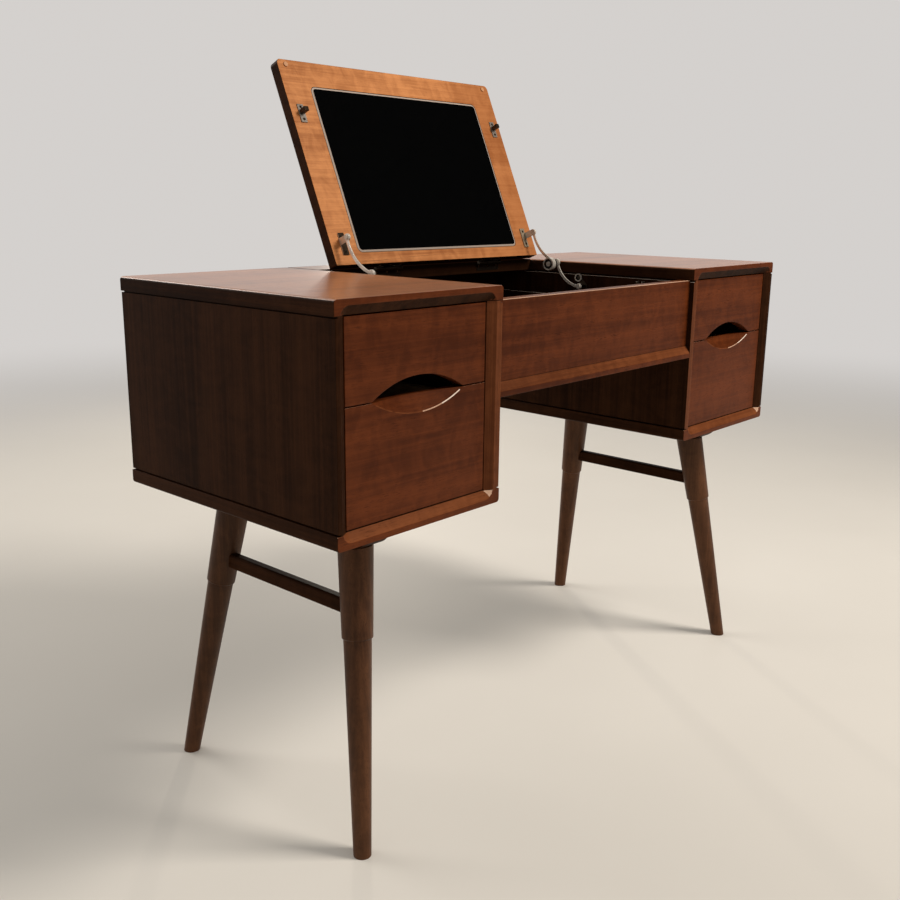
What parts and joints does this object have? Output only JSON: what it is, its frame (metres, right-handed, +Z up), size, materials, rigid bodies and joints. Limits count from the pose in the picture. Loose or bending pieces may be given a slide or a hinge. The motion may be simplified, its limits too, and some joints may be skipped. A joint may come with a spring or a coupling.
{
  "type": "flip top vanity table",
  "caption": "Dressing table with drawer pedestals on splayed legs, a shallow well between them and a flip-up mirror lid held by folding stays.",
  "frame": {"origin": "on the floor, in the middle of the footprint with the lid open", "axes": "+X to the right seen from the front, +Y to the back, +Z up; the drawers open towards -Y"},
  "size_m": [1.11, 0.4836, 1.0692],
  "materials": {
    "dark_walnut": "satin lacquered dark walnut veneer",
    "red_walnut": "satin lacquered reddish walnut veneer, grain along X",
    "leg_walnut": "satin lacquered solid wood stained dark walnut",
    "lid_walnut": "satin lacquered walnut veneer, warmer underneath",
    "birch": "sealed plywood",
    "runner_wood": "waxed hardwood",
    "mirror": "silvered glass with a ground edge",
    "nickel": "nickel-plated steel, lightly worn",
    "zinc_steel": "zinc-plated steel",
    "rubber": "matt black rubber"
  },
  "bodies": {
    "carcass": {"left_top_board": "dark_walnut", "left_bottom_board": "dark_walnut", "left_outer_side": "dark_walnut", "left_inner_side": "dark_walnut", "left_back_panel": "dark_walnut", "right_top_board": "dark_walnut", "right_bottom_board": "dark_walnut", "right_outer_side": "dark_walnut", "right_inner_side": "dark_walnut", "right_back_panel": "dark_walnut", "left_drawer_runners": "runner_wood", "right_drawer_runners": "runner_wood", "well_front_panel": "red_walnut", "well_bottom_board": "dark_walnut", "well_back_panel": "dark_walnut", "well_side_ledges": "dark_walnut", "rear_top_strip": "dark_walnut", "left_leg_rail": "leg_walnut", "right_leg_rail": "leg_walnut", "front_left_leg": "leg_walnut", "front_right_leg": "leg_walnut", "rear_left_leg": "leg_walnut", "rear_right_leg": "leg_walnut", "left_stretcher": "leg_walnut", "right_stretcher": "leg_walnut", "leg_bolts": "zinc_steel", "catch_strikes": "nickel", "hinge_case_leaves": "nickel", "stay_case_brackets": "nickel"},
    "lid": {"lid_board": "lid_walnut", "mirror_glass": "mirror", "lid_catches": "nickel", "lid_bumpers": "rubber", "hinge_lid_leaves": "nickel", "stay_lid_brackets": "nickel"},
    "left_stay_upper": {"left_upper_arm": "nickel", "left_elbow_stud": "nickel"},
    "right_stay_upper": {"right_upper_arm": "nickel", "right_stay_damper": "nickel"},
    "left_stay_lower": {"left_lower_arm": "nickel"},
    "right_stay_lower": {"right_lower_arm": "nickel"},
    "upper_left_drawer": {"upper_left_drawer_front": "red_walnut", "upper_left_drawer_sides": "birch", "upper_left_drawer_back": "birch", "upper_left_drawer_bottom": "birch"},
    "upper_right_drawer": {"upper_right_drawer_front": "red_walnut", "upper_right_drawer_sides": "birch", "upper_right_drawer_back": "birch", "upper_right_drawer_bottom": "birch"},
    "lower_left_drawer": {"lower_left_drawer_front": "red_walnut", "lower_left_drawer_sides": "birch", "lower_left_drawer_back": "birch", "lower_left_drawer_bottom": "birch"},
    "lower_right_drawer": {"lower_right_drawer_front": "red_walnut", "lower_right_drawer_sides": "birch", "lower_right_drawer_back": "birch", "lower_right_drawer_bottom": "birch"}
  },
  "joints": [
    {"name": "lid_hinge", "type": "hinge", "parent": "carcass", "child": "lid", "pos_m": [0, 0.105, 0.7486], "axis": [1, 0, 0], "range_deg": [0, 113.4]},
    {"name": "left_stay_foot", "type": "hinge", "parent": "carcass", "child": "left_stay_lower", "pos_m": [-0.235, -0.018, 0.707], "axis": [1, 0, 0], "range_deg": [-99, 0]},
    {"name": "left_stay_top", "type": "hinge", "parent": "lid", "child": "left_stay_upper", "pos_m": [-0.235, 0.08781, 0.80104], "axis": [1, 0, 0], "range_deg": [-106, 0]},
    {"name": "right_stay_foot", "type": "hinge", "parent": "carcass", "child": "right_stay_lower", "pos_m": [0.235, -0.018, 0.707], "axis": [1, 0, 0], "range_deg": [-99, 0]},
    {"name": "right_stay_top", "type": "hinge", "parent": "lid", "child": "right_stay_upper", "pos_m": [0.235, 0.08781, 0.80104], "axis": [1, 0, 0], "range_deg": [-106, 0]},
    {"name": "upper_left_drawer_slide", "type": "slide", "parent": "carcass", "child": "upper_left_drawer", "axis": [0, -1, 0], "range_m": [0, 0.28]},
    {"name": "upper_right_drawer_slide", "type": "slide", "parent": "carcass", "child": "upper_right_drawer", "axis": [0, -1, 0], "range_m": [0, 0.28]},
    {"name": "lower_left_drawer_slide", "type": "slide", "parent": "carcass", "child": "lower_left_drawer", "axis": [0, -1, 0], "range_m": [0, 0.28]},
    {"name": "lower_right_drawer_slide", "type": "slide", "parent": "carcass", "child": "lower_right_drawer", "axis": [0, -1, 0], "range_m": [0, 0.28]}
  ],
  "couplings": [
    {"joint": "left_stay_foot", "follows": "lid_hinge", "ratio": -0.86393},
    {"joint": "left_stay_top", "follows": "lid_hinge", "ratio": -0.92168},
    {"joint": "right_stay_foot", "follows": "lid_hinge", "ratio": -0.86393},
    {"joint": "right_stay_top", "follows": "lid_hinge", "ratio": -0.92168}
  ]
}
